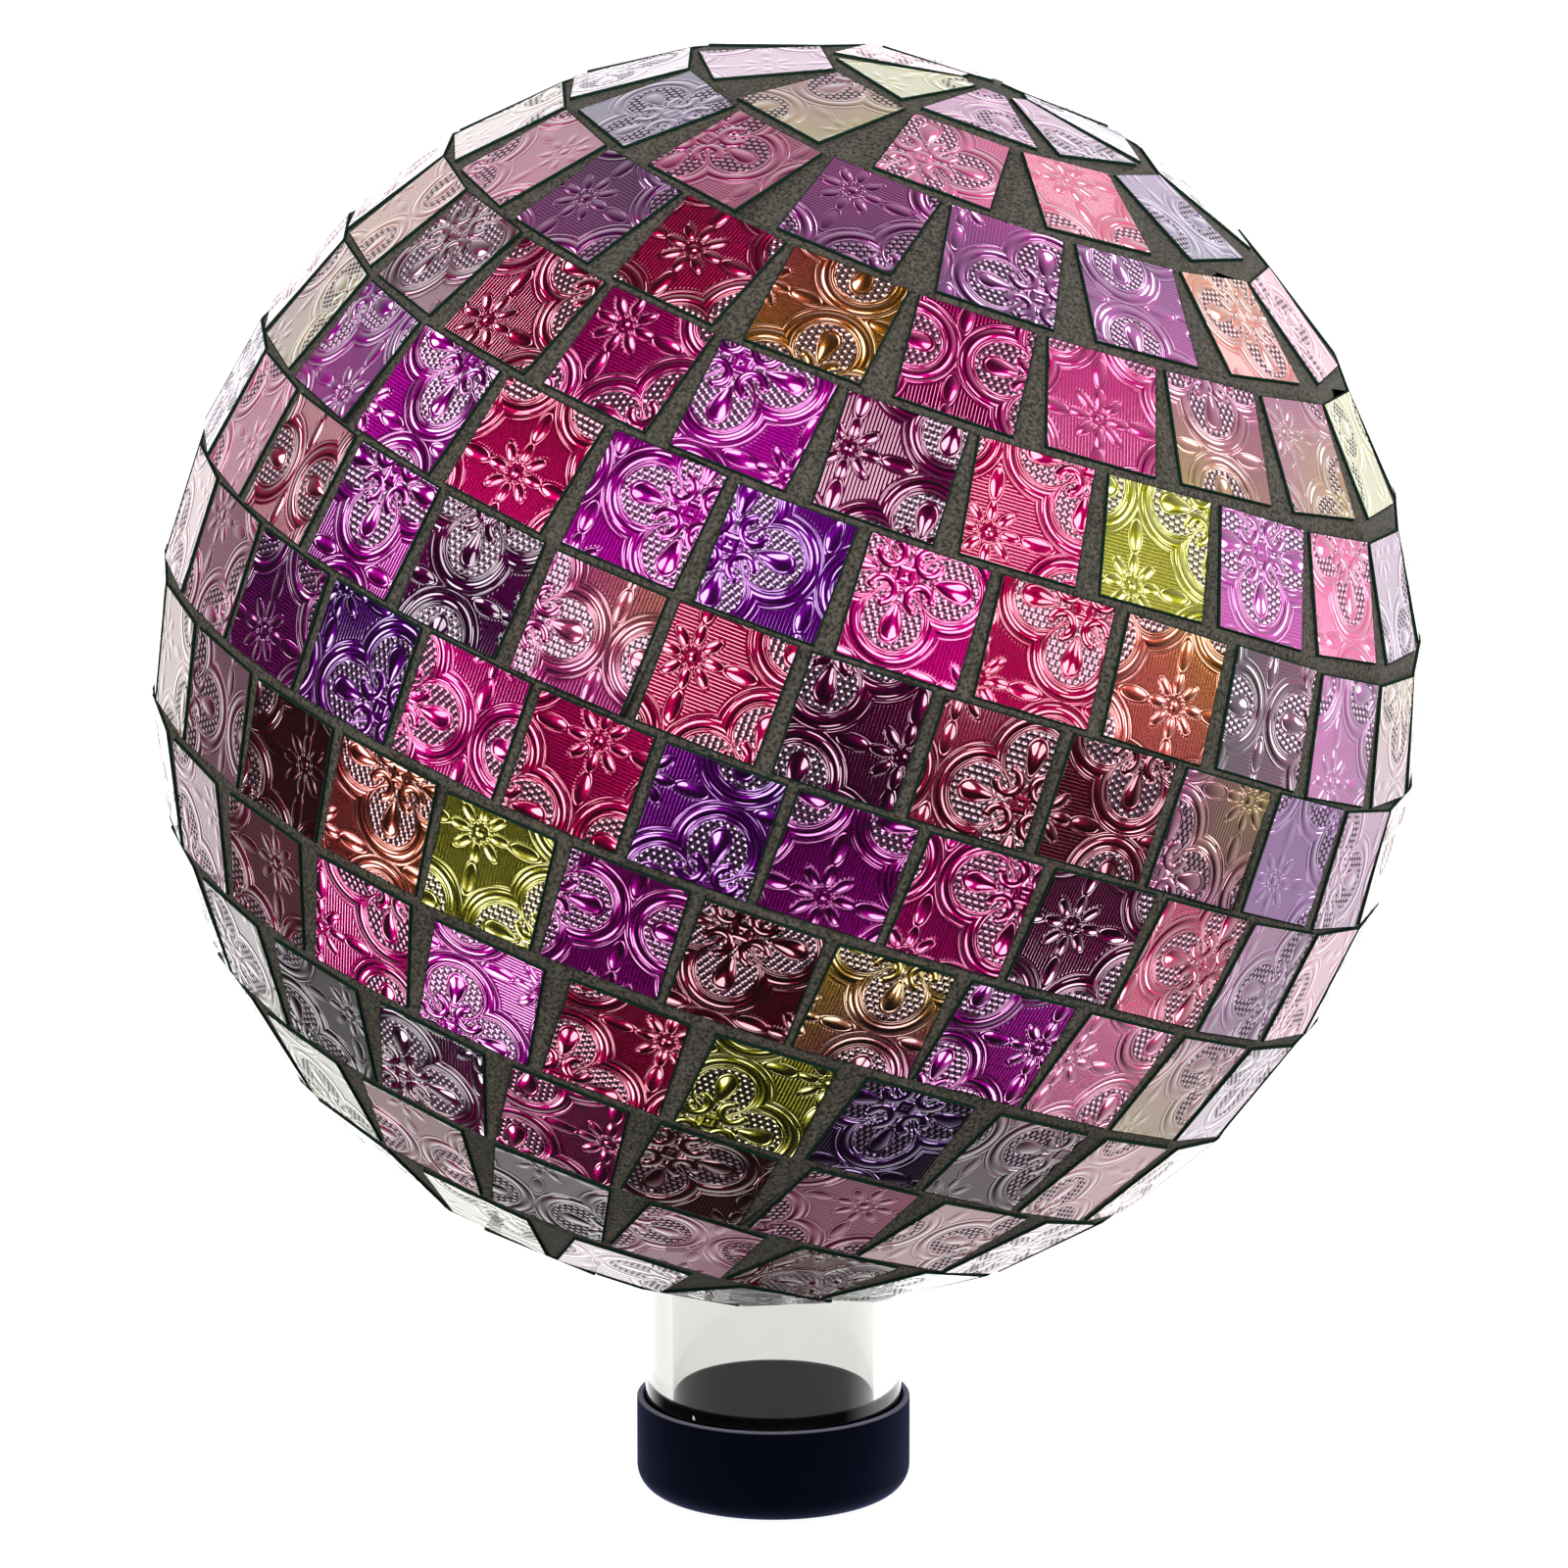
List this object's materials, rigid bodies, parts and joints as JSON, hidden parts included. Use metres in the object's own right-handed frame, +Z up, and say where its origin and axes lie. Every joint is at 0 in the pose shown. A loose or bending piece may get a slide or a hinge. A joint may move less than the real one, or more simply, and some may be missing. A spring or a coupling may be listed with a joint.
{
  "type": "mosaic gazing globe",
  "caption": "Hollow glass globe skinned with square embossed mosaic tiles in dark grout, standing upright on a short open neck closed by a rubber cap.",
  "frame": {"origin": "middle of the bounding box at the bottom, on the underside of the neck cap, which the globe stands on", "axes": "+Z up through the neck and the globe; -Y faces the side that the picture shows"},
  "size_m": [0.256, 0.2556, 0.2993],
  "materials": {
    "clear_glass": "clear blown glass, polished",
    "foiled_tiles": "clear pressed glass over coloured mirror foil",
    "black_rubber": "satin moulded rubber",
    "grout": "sanded cement grout, matt"
  },
  "bodies": {
    "root": {"glass_globe": "clear_glass", "mosaic_skin": "foiled_tiles", "neck_cap": "black_rubber"}
  },
  "joints": []
}
